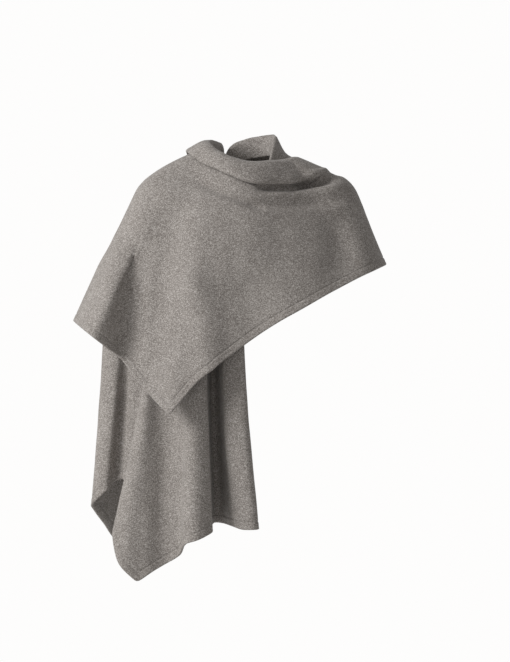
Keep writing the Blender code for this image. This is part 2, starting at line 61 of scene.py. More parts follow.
cloth = {
    "thickness": 0.0024,
    "underLift": 0.004,      # the inner layer, off the figure
    "overLift": 0.010,       # the outer layer, off the figure
    "layerStep": 0.0052,     # middle of one layer to the middle of the next
    "legInward": 0.010,      # the cowl's inner leg, towards the neck
    "legDrop": 0.034,
    "riseStart": -0.010,     # beside the pleat, where the cloth rises over the shoulder
    "riseReach": 0.125,
    "usualPleat": 0.050,     # crest to pleat on sections without a pleat, for even spacing
    "pathSteps": 300,
    "legSteps": 4,
    "turnSteps": 2,
    "panelSteps": 48,
    "panelCrowding": 1.45,   # the points lie closer together near the pleat
    "slack": 0.030,          # folds narrower than this ease out across the panel's top
    "lowerSlack": 0.006,     # and less of them on the panel that hangs below
    "ripple": 0.0009,        # low unevenness all over the cloth
    "rippleSize": 0.055,
    "flat": (0.62, 1.85),    # width and length of the cut that shows
}

hem = {
    "width": 0.016,          # edge to stitching
    "edgeRadius": 0.0021,    # half the thickness of the folded edge
    "puff": 0.0006,          # the band stands out between stitching and edge
    "groove": 0.0010,        # pulled in along the stitching
    "grooveHalf": 0.0012,
    "turnedIn": 0.0019,      # the layer turned to the inside
    "turnedEnd": 0.0185,     # where it ends
    "turnedSlope": 0.0012,
    "innerGroove": 0.0006,
    "slope": 0.004,
    "rimReach": 0.006,
    "cornerSoftness": 0.009,
    "columns": (1.9, 1.55, 1.30, 1.17, 1.09, 1.03, 0.97, 0.90, 0.80, 0.62, 0.42, 0.24, 0.10, 0.0),
}

# One row for each section. The crest is where a section leaves the neck, the hem is where it ends.
# name, leg, crest x, y, z, hem x, y, z, outer layer, pleat, proud, lap, lean, rise, spacing in mm
sections = (
    ("turned edge", "flat", -0.042, -0.078, -0.06, -0.016, -0.125, -0.739, 0, 0, 0, 0, -0.022, 0, 5),
    ("turned middle", "flat", -0.030, -0.081, -0.06, 0.010, -0.131, -0.742, 0, 0, 0, 0, -0.021, 0, 4),
    ("inner edge", "flat", -0.020, -0.085, -0.06, 0.0270, -0.153, -0.744, 0, 0, 0, 0, -0.019, 0, 3),
    ("inner edge front", "flat", -0.024, -0.086, -0.06, 0.0190, -0.166, -0.745, 0, 0, 0, 0, -0.019, 0, 4),
    ("right ridge", "flat", -0.036, -0.084, -0.06, -0.006, -0.157, -0.745, 0, 0, 0, 0, -0.016, 0, 4),
    ("valley side", "flat", -0.048, -0.081, -0.06, -0.026, -0.134, -0.739, 0, 0, 0, 0, -0.018, 0, 4),
    ("deep valley", "flat", -0.058, -0.077, -0.06, -0.045, -0.088, -0.735, 0, 0, 0, 0, -0.012, 0, 4),
    ("valley floor", "flat", -0.067, -0.073, -0.06, -0.063, -0.084, -0.734, 0, 0, 0, 0, -0.009, 0, 3),
    ("behind the ridge", "flat", -0.074, -0.070, -0.06, -0.0715, -0.137, -0.741, 0, 0, 0, 0, -0.008, 0, 3),
    ("sharp ridge", "flat", -0.079, -0.067, -0.06, -0.0675, -0.161, -0.750, 0, 0, 0, 0, -0.009, 0, 3),
    ("ridge crown", "flat", -0.085, -0.064, -0.06, -0.079, -0.176, -0.757, 0, 0, 0, 0, -0.007, 0, 4),
    ("middle ridge", "flat", -0.092, -0.060, -0.06, -0.100, -0.182, -0.768, 0, 0, 0, 0, -0.004, 0, 4),
    ("ridge lip", "flat", -0.097, -0.057, -0.06, -0.1195, -0.172, -0.776, 0, 0, 0, 0, 0, 0, 4),
    ("soft valley", "flat", -0.104, -0.053, -0.06, -0.136, -0.153, -0.7985, 0, 0, 0, 0, 0.008, 0, 5),
    ("before the tip", "flat", -0.116, -0.045, -0.06, -0.175, -0.151, -0.822, 0, 0, 0, 0, 0.016, 0, 5),
    ("tip", "flat", -0.130, -0.034, -0.06, -0.2200, -0.155, -0.853, 0, 0, 0, 0, 0.024, 0, 4),
    ("after the tip", "flat", -0.138, -0.022, -0.06, -0.256, -0.144, -0.816, 0, 0, 0, 0, 0.028, 0, 4),
    ("front ridge", "flat", -0.143, -0.010, -0.06, -0.2695, -0.122, -0.762, 0, 0, 0, 0, 0.03, 0, 4),
    ("ridge back", "flat", -0.143, -0.003, -0.06, -0.260, -0.090, -0.724, 0, 0, 0, 0, 0.03, 0, 4),
    ("inward fold", "flat", -0.142, 0.003, -0.06, -0.240, -0.076, -0.692, 0, 0, 0, 0, 0.028, 0, 4),
    ("fold turn", "flat", -0.143, 0.008, -0.06, -0.238, -0.058, -0.664, 0, 0, 0, 0, 0.026, 0, 4),
    ("side start", "flat", -0.145, 0.013, -0.06, -0.2575, -0.040, -0.646, 0, 0, 0, 0, 0.016, 0, 5),
    ("side middle", "flat", -0.145, 0.019, -0.06, -0.290, -0.048, -0.674, 0, 0, 0, 0, 0.005, 0, 4),
    ("side edge", "flat", -0.142, 0.025, -0.06, -0.3150, -0.028, -0.698, 0, 0, 0, 0, 0, 0, 4),
    ("side turn", "flat", -0.136, 0.032, -0.06, -0.313, 0.002, -0.712, 0, 0, 0, 0, 0, 0, 5),
    ("hip side", "flat", -0.128, 0.040, -0.06, -0.294, 0.032, -0.741, 0, 0, 0, 0, 0, 0, 7),
    ("hip back", "flat", -0.118, 0.048, -0.06, -0.268, 0.066, -0.777, 0, 0, 0, 0, 0, 0, 8),
    ("back right", "flat", -0.106, 0.060, -0.06, -0.222, 0.100, -0.788, 0, 0, 0, 0, 0, 0, 9),
    ("back trough", "flat", -0.092, 0.072, -0.06, -0.168, 0.122, -0.746, 0, 0, 0, 0, 0, 0, 10),
    ("back ridge", "flat", -0.074, 0.084, -0.02, -0.095, 0.146, -0.672, 0, 0, 0, 0, 0, 0, 10),
    ("back middle", "nape", -0.040, 0.104, 0.012, -0.045, 0.142, -0.552, 0, 0, 0, 0, 0, 0, 11),
    ("back left", "nape", 0.000, 0.112, 0.022, -0.002, 0.148, -0.352, 0.1, 0, 0, 0, 0, 0, 9),
    ("nape left", "nape", 0.040, 0.106, 0.018, 0.085, 0.140, -0.290, 0.3, 0, 0, 0, 0, 0, 8),
    ("shoulder blade", "nape", 0.078, 0.084, 0.010, 0.162, 0.126, -0.252, 0.6, 0, 0, 0, 0, 0, 8),
    ("left arm back", "nape", 0.102, 0.042, 0.014, 0.240, 0.084, -0.216, 0.9, 0, 0, 0, 0, 0, 7),
    ("left arm", "nape", 0.112, 0.002, 0.018, 0.2900, 0.006, -0.203, 1, 0.050, 0, 0, 0, 0, 6),
    ("left arm front", "nape", 0.099, -0.026, 0.019, 0.270, -0.074, -0.214, 1, 0.058, 0.003, 0, 0, 0, 6),
    ("left chest", "nape", 0.078, -0.045, 0.0135, 0.207, -0.119, -0.244, 1, 0.060, 0.007, 0, 0, 0, 6),
    ("chest", "roll", 0.046, -0.064, 0.010, 0.121, -0.156, -0.293, 1, 0.057, 0.011, 0.003, 0, 0, 6),
    ("middle front", "roll", 0.0225, -0.073, 0.008, 0.035, -0.168, -0.342, 1, 0.050, 0.013, 0.012, 0, 0, 6),
    ("right front", "roll", 0.000, -0.075, 0.010, -0.035, -0.176, -0.394, 1, 0.043, 0.013, 0.017, 0, 0, 5),
    ("right breast", "roll", -0.016, -0.071, 0.0145, -0.0656, -0.180, -0.422, 1, 0.039, 0.013, 0.018, 0, 0, 5),
    ("front fall", "roll", -0.0316, -0.065, 0.019, -0.0964, -0.183, -0.445, 1, 0.037, 0.013, 0.018, 0, 0, 5),
    ("before corner", "roll", -0.046, -0.056, 0.026, -0.119, -0.187, -0.4695, 1, 0.037, 0.013, 0.018, 0, 0, 4),
    ("corner", "roll", -0.0595, -0.045, 0.033, -0.1540, -0.192, -0.5125, 1, 0.038, 0.013, 0.018, 0, 0, 5),
    ("short edge low", "roll", -0.067, -0.036, 0.040, -0.211, -0.134, -0.453, 1, 0.039, 0.013, 0.018, 0, 0.002, 6),
    ("short edge", "roll", -0.073, -0.025, 0.046, -0.256, -0.114, -0.394, 1, 0.041, 0.012, 0.018, 0, 0.004, 5),
    ("arm trough", "roll", -0.076, -0.013, 0.050, -0.285, -0.121, -0.373, 1, 0.045, 0.011, 0.017, 0, 0.005, 5),
    ("arm front", "roll", -0.0755, 0.000, 0.053, -0.318, -0.124, -0.3475, 1, 0.049, 0.01, 0.016, 0, 0.0055, 6),
    ("arm", "roll", -0.070, 0.020, 0.056, -0.3530, -0.008, -0.321, 1, 0.055, 0.008, 0.013, 0, 0.0055, 7),
    ("arm back", "roll", -0.066, 0.036, 0.056, -0.334, 0.056, -0.332, 1, 0.060, 0.007, 0.008, 0, 0.005, 8),
    ("blade side", "roll", -0.062, 0.050, 0.055, -0.275, 0.116, -0.364, 1, 0.066, 0.007, 0.003, 0, 0.003, 8),
    ("blade", "roll", -0.058, 0.062, 0.053, -0.188, 0.154, -0.400, 1, 0.066, 0.006, 0, 0, 0.002, 8),
    ("end corner", "roll", -0.053, 0.074, 0.051, -0.100, 0.172, -0.430, 1, 0.066, 0.005, 0, 0, 0.0, 8),
)
cornerNames = ("tip", "corner")

# Where the collar stands at the nape and the left of the neck: top x, y, z, then the hollow outside it
collar = {
    "back middle": (-0.034, 0.080, 0.038, -0.037, 0.094, 0.026),
    "back left": (0.000, 0.084, 0.060, 0.000, 0.099, 0.044),
    "nape left": (0.030, 0.078, 0.066, 0.035, 0.093, 0.043),
    "shoulder blade": (0.051, 0.060, 0.068, 0.064, 0.072, 0.038),
    "left arm back": (0.061, 0.032, 0.067, 0.080, 0.036, 0.033),
    "left arm": (0.061, 0.004, 0.058, 0.085, 0.002, 0.021),
    "left arm front": (0.057, -0.024, 0.040, 0.076, -0.024, 0.010),
    "left chest": (0.050, -0.044, 0.012, 0.063, -0.042, -0.002),
}

# How a section turns at the pleat: share of the pleat distance, shift where flat, shift where lapped,
# share of the lap, share of the cowl's height
pleatTurns = (
    (0.22, 0.0, 0.0, 0.0, 0.72),
    (0.50, 0.0, 0.0, 0.0, 1.00),
    (0.80, 0.0, 0.0, 0.0, 1.02),
    (1.00, -0.0020, -0.0030, 0.0, 0.96),
    (1.00, 0.0010, 0.0020, 0.0, 0.74),
    (1.00, 0.0040, 0.0022, 0.15, 0.42),
    (1.00, 0.0065, -0.0005, 0.7, 0.27),
    (1.00, 0.0085, -0.0035, 1.0, 0.16),
    (1.00, 0.0105, 0.0010, 1.0, -0.04),
    (1.00, 0.0130, 0.0060, 0.4, -0.08),
)

# Soft folds seen from the front: x and z from end to end, half width, depth (troughs are negative)
frontFolds = {
    "trough by the arm": (-0.220, -0.100, -0.234, -0.245, -0.245, -0.404, 0.029, -0.018),
    "swell over the arm": (-0.285, -0.150, -0.312, -0.256, -0.336, -0.330, 0.030, 0.004),
    "slope of the breast": (-0.128, -0.020, -0.137, -0.120, -0.132, -0.250, 0.044, 0.005),
    "fullness of the breast": (-0.092, -0.030, -0.108, -0.120, -0.112, -0.260, 0.058, 0.014),
    "turn to the left arm": (0.206, -0.080, 0.198, -0.130, 0.192, -0.230, 0.034, -0.010),
    "crest of the front": (-0.112, -0.200, -0.082, -0.310, -0.070, -0.480, 0.030, 0.010),
    "trough above the hem": (0.004, -0.200, 0.010, -0.300, 0.020, -0.390, 0.050, -0.008),
    "valley under the cowl": (0.010, -0.045, 0.096, -0.046, 0.170, -0.028, 0.009, -0.015),
    "valley mouth": (0.094, -0.036, 0.140, -0.031, 0.186, -0.022, 0.012, -0.009),
    "lip of the cowl": (0.070, -0.034, 0.123, -0.024, 0.168, -0.010, 0.007, 0.005),
    "ridge under the valley": (0.030, -0.056, 0.123, -0.057, 0.195, -0.045, 0.009, 0.005),
    "long crease": (-0.112, -0.030, -0.047, -0.056, 0.034, -0.086, 0.008, -0.010),
    "crease to the shoulder": (-0.014, -0.078, 0.103, -0.080, 0.214, -0.066, 0.011, -0.007),
}
# The same for the panel that hangs below, which lies under the crossing one
lowerFolds = {
    "soft valley": (-0.180, -0.330, -0.170, -0.560, -0.160, -0.900, 0.026, -0.011),
    "middle ridge": (-0.120, -0.330, -0.105, -0.560, -0.098, -0.900, 0.024, 0.008),
    "left ridge": (-0.205, -0.400, -0.228, -0.600, -0.246, -0.900, 0.022, 0.005),
}
sideFolds = {
    "hollow behind the ridge": (-0.240, -0.345, -0.258, -0.560, -0.272, -0.700, 0.012, -0.010),
}

# And for the back: the sheet itself, then the end that falls over the shoulder
backFolds = {
    "pull to the left shoulder": (0.170, -0.070, 0.030, -0.170, -0.110, -0.340, 0.030, -0.007),
    "ridge of the pull": (0.180, -0.115, 0.070, -0.220, -0.020, -0.390, 0.026, 0.006),
    "hanging trough": (-0.140, -0.400, -0.158, -0.560, -0.176, -0.760, 0.028, -0.009),
    "hanging ridge": (-0.200, -0.470, -0.222, -0.600, -0.245, -0.800, 0.026, 0.007),
}
endFolds = {
    "trough to the short edge": (-0.190, -0.050, -0.245, -0.180, -0.290, -0.380, 0.028, -0.004),
    "ridge to the short edge": (-0.130, -0.040, -0.175, -0.180, -0.215, -0.420, 0.030, 0.007),
}

names = [row[0] for row in sections]
hemReach = 22    # the hem lies within this many columns of the edge
endReach = 30    # and the free edge's hem within this many rows


def smoothStep(t):
    t = np.clip(t, 0.0, 1.0)
    return t * t * (3.0 - 2.0 * t)


def unit(v):
    return v / np.maximum(np.linalg.norm(v, axis=-1), 1e-12)[..., None]


def figureTop(x, y, lift):    # height of the figure under x, y, swollen by lift
    top = np.full(np.shape(x), -9.0)
    count = figure["ballsPerLimb"]
    for ax, ay, az, bx, by, bz, ra, rb in figure["limbs"]:
        for k in range(count):
            t = k / (count - 1)
            radius = ra + (rb - ra) * t + lift
            span = radius ** 2 - (x - ax - (bx - ax) * t) ** 2 - (y - ay - (by - ay) * t) ** 2
            top = np.where(span > 0.0, np.maximum(top, az + (bz - az) * t + np.sqrt(np.abs(span))), top)
    for cx, cy, cz, rx, ry, rz in figure["trunk"]:
        span = 1.0 - ((x - cx) / (rx + lift)) ** 2 - ((y - cy) / (ry + lift)) ** 2
        top = np.where(span > 0.0, np.maximum(top, cz + (rz + lift) * np.sqrt(np.abs(span))), top)
    return top


def neckward(x, y):
    dx = figure["neckAxis"][0] - x
    dy = figure["neckAxis"][1] - y
    return dx / math.hypot(dx, dy), dy / math.hypot(dx, dy)


def guidePoints(row):    # edge, collar top, hollow, crest, hem of one section
    name, leg, cx, cy, cz, hx, hy, hz, outer = row[:9]
    lift = cloth["underLift"] + (cloth["overLift"] - cloth["underLift"]) * outer
    nx, ny = neckward(cx, cy)
    crestZ = max(cz, float(figureTop(np.array(cx), np.array(cy), lift)) + 0.0005)
    crest = (cx, cy, crestZ)
    if leg == "nape":
        kx, ky, kz, wx, wy, wz = collar[name]
        inX, inY = neckward(kx, ky)
        edge = (kx + 0.004 * inX, ky + 0.004 * inY, kz - 0.042)
        return edge, (kx, ky, kz), (wx, wy, wz), crest, (hx, hy, hz)
    points = []
    if leg == "roll":
        inward, drop = cloth["legInward"], cloth["legDrop"]
        for k, share in ((1.0, 1.0), (1.05, 0.62), (0.8, 0.22)):
            points.append((cx + inward * k * nx, cy + inward * k * ny, crestZ - drop * share))
    else:
        for reach in (0.030, 0.020, 0.010):
            px, py = cx + reach * nx, cy + reach * ny
            top = float(figureTop(np.array(px), np.array(py), lift))
            points.append((px, py, max(top, crestZ - reach)))
    return (*points, crest, (hx, hy, hz))


def spline(a, b, c, d, t):
    return 0.5 * (2.0 * b + (c - a) * t + (2.0 * a - 5.0 * b + 4.0 * c - d) * t ** 2
                  + (3.0 * b - a - 3.0 * c + d) * t ** 3)


def rowAt(values, place):    # table rows at a fractional place, sharp at the sheet's corners
    last = len(values) - 1
    i = min(int(place), last - 1)
    b, c = values[i], values[i + 1]
    a = values[i - 1] if i > 0 and names[i] not in cornerNames else 2.0 * b - c
    d = values[i + 2] if i + 2 <= last and names[i + 1] not in cornerNames else 2.0 * c - b
    return spline(a, b, c, d, place - i)


def tautRoute(crest, hemPoint, lift, under):    # over the figure and the layer below, then straight
    across = np.array(hemPoint[:2]) - np.array(crest[:2])
    length = np.linalg.norm(across)
    d = np.linspace(0.0, length, cloth["pathSteps"])
    x = crest[0] + across[0] * d / length
    y = crest[1] + across[1] * d / length
    z = figureTop(x, y, lift)
    if under is not None:
        for k in range(len(d)):
            hit = under.ray_cast(Vector((x[k], y[k], 0.4)), Vector((0.0, 0.0, -1.0)))[0]
            if hit is not None:
                z[k] = max(z[k], hit.z)
    z[0], z[-1] = crest[2], hemPoint[2]
    hull = []
    for point in zip(d.tolist(), z.tolist()):
        while len(hull) > 1:
            (ax, az), (bx, bz) = hull[-2:]
            if (bx - ax) * (point[1] - az) - (bz - az) * (point[0] - ax) < 0.0:
                break
            hull.pop()
        hull.append(point)
    return np.array(hull), across / length


def alongRoute(hull, s):    # points at distances s, and the outward direction there
    reach = np.concatenate(([0.0], np.cumsum(np.linalg.norm(np.diff(hull, axis=0), axis=1))))
    near = 0.012
    at = [np.column_stack([np.interp(s + k, reach, hull[:, c]) for c in (0, 1)]) for k in (0.0, near, -near)]
    tangent = unit(at[1] - at[2])
    return at[0], np.column_stack((-tangent[:, 1], tangent[:, 0]))


def eased(values, steps):    # a smooth run through the values, steps to each space
    padded = np.concatenate(([2 * values[0] - values[1]], values, [2 * values[-1] - values[-2]]))
    run = []
    for k in range(len(values) - 1):
        for m in range(steps):
            run.append(spline(*padded[k:k + 4], m / steps))
    return np.array(run + [values[-1]])


def stations(length, band, pleat, proud, lap):    # distances along a section and heights off its route
    full = min(lap / 0.012, 1.0)
    s = [0.0] + [pleat * a + (b + (c - b) * full) - lap * e for a, b, c, e, _ in pleatTurns]
    n = [0.0] + [proud * h for _, _, _, _, h in pleatTurns]
    s = eased(np.array(s), cloth["turnSteps"])
    n = eased(np.array(n), cloth["turnSteps"])
    columns = length - hem["edgeRadius"] - np.array(hem["columns"]) * (band - hem["edgeRadius"])
    start = max(s[-1], pleat + 0.004)
    share = np.linspace(0.0, 1.0, cloth["panelSteps"] + 1)[1:-1]
    panel = start + (columns[0] - start) * share ** cloth["panelCrowding"]
    s = np.concatenate((s[:-1], [start], panel, columns))
    return s, np.concatenate((n, np.zeros(len(panel) + len(columns))))


guides = [np.array(points) for points in zip(*[guidePoints(row) for row in sections])]
extras = np.array([row[8:14] for row in sections], dtype=float)
extras[:, 1] = np.where(extras[:, 1] > 0.0, extras[:, 1], cloth["usualPleat"])


def placesOf():    # fractional places of the sections that are drawn
    found = []
    for i in range(len(sections) - 1):
        gap = np.linalg.norm(guides[4][i + 1] - guides[4][i])
        gap = max(gap, 0.6 * np.linalg.norm(guides[3][i + 1] - guides[3][i]))
        count = max(2, round(gap * 1000 / (sections[i][14] * sheetScale)))
        found += [i + k / count for k in range(count)]
    last = len(sections) - 1
    edge = [last - k for k in (0.075, 0.06, 0.045, 0.03, 0.015, 0.0)]    # close rows for the free edge's hem
    return [place for place in found if place < edge[0] - 0.02] + edge


def sectionPoints(place, band, under):
    edge, top, hollow, crest, hemPoint = [rowAt(values, place) for values in guides]
    outer, pleat, proud, lap, lean, rise = rowAt(extras, place)
    outer, proud, lap = np.clip((outer, proud, lap), 0.0, 1.0)
    lift = cloth["underLift"] + (cloth["overLift"] - cloth["underLift"]) * outer
    hull, across = tautRoute(crest, hemPoint, lift, under)
    length = np.sum(np.linalg.norm(np.diff(hull, axis=0), axis=1))
    s, n = stations(length, band, pleat, proud, lap)
    flat, out = alongRoute(hull, s)
    flat = flat + out * n[:, None]
    fromPleat = (s - pleat - cloth["riseStart"]) / cloth["riseReach"]
    flat[:, 1] += rise * np.sin(math.pi * np.clip(fromPleat, 0.0, 1.0))
    body = np.column_stack((crest[0] + across[0] * flat[:, 0], crest[1] + across[1] * flat[:, 0], flat[:, 1]))
    t = s / length
    body[:, 0] += 5.0 * lean * t * (1.0 - t) ** 1.3
    lead = [2.0 * edge - top, edge, top, hollow, crest, body[cloth["turnSteps"]]]
    leg = []
    for k in range(1, 4):
        for m in range(cloth["legSteps"]):
            leg.append(spline(*lead[k - 1:k + 3], m / cloth["legSteps"]))
    return np.vstack((leg, body))


def hemBands(places):    # for each section, how far along it the stitching lies, so that it is parallel to the edge
    hems = np.array([rowAt(guides[4], place) for place in places])
    crests = np.array([rowAt(guides[3], place) for place in places])
    bands = []
    for i, point in enumerate(hems):
        down = unit(point - crests[i] + np.array((0.0, 0.0, -0.25)))
        near = hems[max(0, i - 40):i + 41]
        reach = np.linspace(0.5, 2.6, 60) * hem["width"]
        trial = point - down * reach[:, None]
        a, b = near[:-1], near[1:]
        span = b - a
        t = np.clip(((trial[:, None] - a) * span).sum(2) / np.maximum((span * span).sum(1), 1e-12), 0.0, 1.0)
        away = np.linalg.norm(trial[:, None] - a - t[..., None] * span, axis=2).min(axis=1)
        bands.append(reach[np.argmax(away >= hem["width"] * 0.999)] if away.max() >= hem["width"] else reach[-1])
    smoothed = np.convolve(np.pad(bands, 2, mode="edge"), (0.1, 0.2, 0.4, 0.2, 0.1), mode="valid")
    return smoothed


def foldDepth(points, folds):
    x, z = points[..., 0], points[..., 2]
    depth = np.zeros(x.shape)
    for ax, az, bx, bz, cx, cz, half, deep in folds.values():
        nearest = np.full(x.shape, 9.0)
        fade = np.zeros(x.shape)
        for k, (px, pz, qx, qz) in enumerate(((ax, az, bx, bz), (bx, bz, cx, cz))):
            span = (qx - px) ** 2 + (qz - pz) ** 2
            held = np.clip(((x - px) * (qx - px) + (z - pz) * (qz - pz)) / span, 0.0, 1.0)
            away = np.hypot(x - px - held * (qx - px), z - pz - held * (qz - pz))
            whole = (k + held) / 2.0
            fade = np.where(away < nearest, smoothStep(np.minimum(whole, 1.15 - whole) / 0.3), fade)
            nearest = np.minimum(nearest, away)
        depth += deep * fade * (1.0 - smoothStep(nearest / (1.6 * half)))
    return depth


def facingOf(grid):
    return unit(np.cross(np.gradient(grid, axis=0), np.gradient(grid, axis=1)))


def underTree(grid):    # the inner layer's outer side, one layer out, for the outer layer to lie on
    lifted = grid + facingOf(grid) * cloth["layerStep"]
    rows, columns = lifted.shape[:2]
    i, j = np.meshgrid(np.arange(rows - 1), np.arange(columns - 1), indexing="ij")
    a = (i * columns + j).ravel()
    faces = np.column_stack((a, a + 1, a + columns + 1, a + columns))
    return BVHTree.FromPolygons([Vector(p) for p in lifted.reshape(-1, 3)], faces.tolist())


def edgeDistance(grid):    # from every point of the sheet to its nearest hemmed edge
    away = np.full(grid.shape[:2], 9.0)
    rows = grid.shape[0]
    hemLine = grid[:, -1]
    for i in range(rows):
        near = hemLine[max(0, i - 45):i + 46]
        part = grid[i, -hemReach:]
        a, b = near[:-1], near[1:]
        span = b - a
        t = np.clip(((part[:, None] - a) * span).sum(2) / np.maximum((span * span).sum(1), 1e-12), 0.0, 1.0)
        away[i, -hemReach:] = np.linalg.norm(part[:, None] - a - t[..., None] * span, axis=2).min(axis=1)
    endLine = grid[-1]
    a, b = endLine[:-1], endLine[1:]
    span = b - a
    for i in range(rows - endReach, rows):
        t = np.clip(((grid[i][:, None] - a) * span).sum(2) / np.maximum((span * span).sum(1), 1e-12), 0.0, 1.0)
        toEnd = np.linalg.norm(grid[i][:, None] - a - t[..., None] * span, axis=2).min(axis=1)
        away[i] = np.minimum(away[i], toEnd)
    return away + hem["edgeRadius"]


def slackened(grid, widths):    # each column evened out along its length, over the given widths
    steps = np.linalg.norm(np.diff(grid, axis=0), axis=2)
    reach = np.vstack((np.zeros(grid.shape[1]), np.cumsum(steps, axis=0)))
    total = grid.copy()
    weight = np.ones(grid.shape[:2])
    for shift in range(1, 46):
        for near, here in ((slice(shift, None), slice(None, -shift)), (slice(None, -shift), slice(shift, None))):
            away = np.abs(reach[near] - reach[here])
            share = np.exp(-(away / np.maximum(widths[here], 1e-6)) ** 2)
            total[here] += grid[near] * share[..., None]
            weight[here] += share
    return total / weight[..., None]


def slackWidths(places):
    first = 3 * cloth["legSteps"] + 2 * len(pleatTurns)
    column = np.arange(first + cloth["panelSteps"] + len(hem["columns"])) - first + 6
    down = np.clip(column / (cloth["panelSteps"] - 4.0), 0.0, 1.0)
    profile = smoothStep(column / 8.0) * (1.0 - down ** 2)
    free = smoothStep((np.array(places) - names.index("side edge")) / 4.0)
    most = cloth["lowerSlack"] + (cloth["slack"] - cloth["lowerSlack"]) * free
    ends = smoothStep((np.array(places)) / 2.0) * smoothStep((len(sections) - 1 - np.array(places)) / 2.0)
    widths = (most * ends)[:, None] * profile
    for corner in cornerNames:
        near = np.clip(1.0 - np.abs(np.array(places) - names.index(corner)), 0.0, 1.0)
        widths = np.maximum(widths, hem["cornerSoftness"] * smoothStep(near * 2.0)[:, None])
    return widths


def layOut():    # the middle of the cloth as one grid: sections by points along each
    places = placesOf()
    bands = hemBands(places)
    firstOuter = names.index("left arm")
    covered = names.index("back left")
    inner = [sectionPoints(p, b, None) for p, b in zip(places, bands) if p < firstOuter]
    count = sum(1 for p in places if p <= covered)
    widths = slackWidths(places)
    under = underTree(slackened(np.array(inner), widths[:len(inner)])[:count])
    outer = [sectionPoints(p, b, under) for p, b in zip(places, bands) if p >= firstOuter]
    grid = slackened(np.array(inner + outer), widths)
    facing = facingOf(grid)
    front = smoothStep((0.07 - grid[..., 1]) / 0.06)
    upper = front * smoothStep(np.array(places) - firstOuter + 1.0)[:, None]
    lower = front * smoothStep(names.index("front ridge") - np.array(places))[:, None]
    at = np.array(places)
    side = smoothStep(at - names.index("inward fold")) * smoothStep(names.index("hip side") - at)
    depth = foldDepth(grid, frontFolds) * upper + foldDepth(grid, lowerFolds) * lower
    depth += foldDepth(grid, sideFolds) * side[:, None]
    back = smoothStep((grid[..., 1] - 0.045) / 0.045)
    behind = smoothStep((at - names.index("hip side")) / 2.0) * smoothStep((names.index("left arm") - at) / 2.0)
    ending = smoothStep(at - names.index("arm"))
    depth += back * (foldDepth(grid, backFolds) * behind[:, None] + foldDepth(grid, endFolds) * ending[:, None])
    grid = grid + facing * depth[..., None]
    return grid, np.array(places)


def rippled(grid, facing):
    size = cloth["rippleSize"]
    low = np.array([noise.noise(Vector(p) / size) for p in grid.reshape(-1, 3)]).reshape(grid.shape[:2])
    return grid + facing * (low * cloth["ripple"])[..., None]


def clothSides(grid):    # the outer and inner side, the direction outwards and the distance to the edge
    grid = rippled(grid, facingOf(grid))
    facing = facingOf(grid)
    away = edgeDistance(grid)
    band = smoothStep(away / hem["slope"]) * smoothStep((hem["width"] - away) / hem["slope"])
    groove = np.exp(-((away - hem["width"]) / hem["grooveHalf"]) ** 2)
    rim = 1.0 - smoothStep(away / hem["rimReach"])
    half = cloth["thickness"] / 2.0
    swell = (hem["edgeRadius"] - half) * rim
    up = half + hem["puff"] * band - hem["groove"] * groove + swell
    turned = 1.0 - smoothStep((away - hem["turnedEnd"]) / hem["turnedSlope"] + 1.0)
    down = half + hem["turnedIn"] * turned * (1.0 - rim) - hem["innerGroove"] * groove + swell
    return grid, grid + facing * up[..., None], grid - facing * down[..., None], facing, away


def meshPiece(name, points, faces):
    mesh = bpy.data.meshes.new(name)
    mesh.from_pydata(points.tolist(), [], faces)
    mesh.shade_smooth()
    mesh.update()
    piece = bpy.data.objects.new(name, mesh)
    bpy.context.scene.collection.objects.link(piece)
    return piece


def clothPiece(name, grid, outer, inner, facing):
    rows, columns = grid.shape[:2]
    count = rows * columns
    i, j = np.meshgrid(np.arange(rows - 1), np.arange(columns - 1), indexing="ij")
    a = (i * columns + j).ravel()
    faces = np.vstack((np.column_stack((a, a + columns, a + columns + 1, a + 1)),
                       np.column_stack((a, a + 1, a + columns + 1, a + columns)) + count)).tolist()
    rimPlaces = [(0, c) for c in range(columns)] + [(r, columns - 1) for r in range(1, rows)]
    rimPlaces += [(rows - 1, c) for c in range(columns - 2, -1, -1)] + [(r, 0) for r in range(rows - 2, 0, -1)]
    r, c = np.array(rimPlaces).T
    inR, inC = np.clip(r, 1, rows - 2), np.clip(c, 1, columns - 2)
    away = unit(grid[r, c] - grid[inR, inC])
    middle = (outer[r, c] + inner[r, c]) / 2.0
    radius = np.linalg.norm(outer[r, c] - inner[r, c], axis=1) / 2.0
    points = [outer.reshape(-1, 3), inner.reshape(-1, 3)]
    for angle in (45.0, 0.0, -45.0):
        side = math.sin(math.radians(angle)) * radius
        reach = math.cos(math.radians(angle)) * radius
        points.append(middle + facing[r, c] * side[:, None] + away * reach[:, None])
    size = len(rimPlaces)
    ring = np.arange(size)
    following = (ring + 1) % size
    rings = [r * columns + c] + [2 * count + k * size + ring for k in range(3)] + [count + r * columns + c]
    for k in range(4):
        upper, lower = rings[k], rings[k + 1]
        faces += np.column_stack((upper, upper[following], lower[following], lower)).tolist()
    return meshPiece(name, np.vstack(points), faces)


stitch = {
    "length": 0.0034,
    "step": 0.0046,          # from one stitch to the next
    "radius": 0.00030,
    "sides": 6,
    "rings": ((-0.5, 0.35, -0.9), (-0.36, 0.95, 0.3), (0.36, 0.95, 0.3), (0.5, 0.35, -0.9)),    # along, radius, lift
}


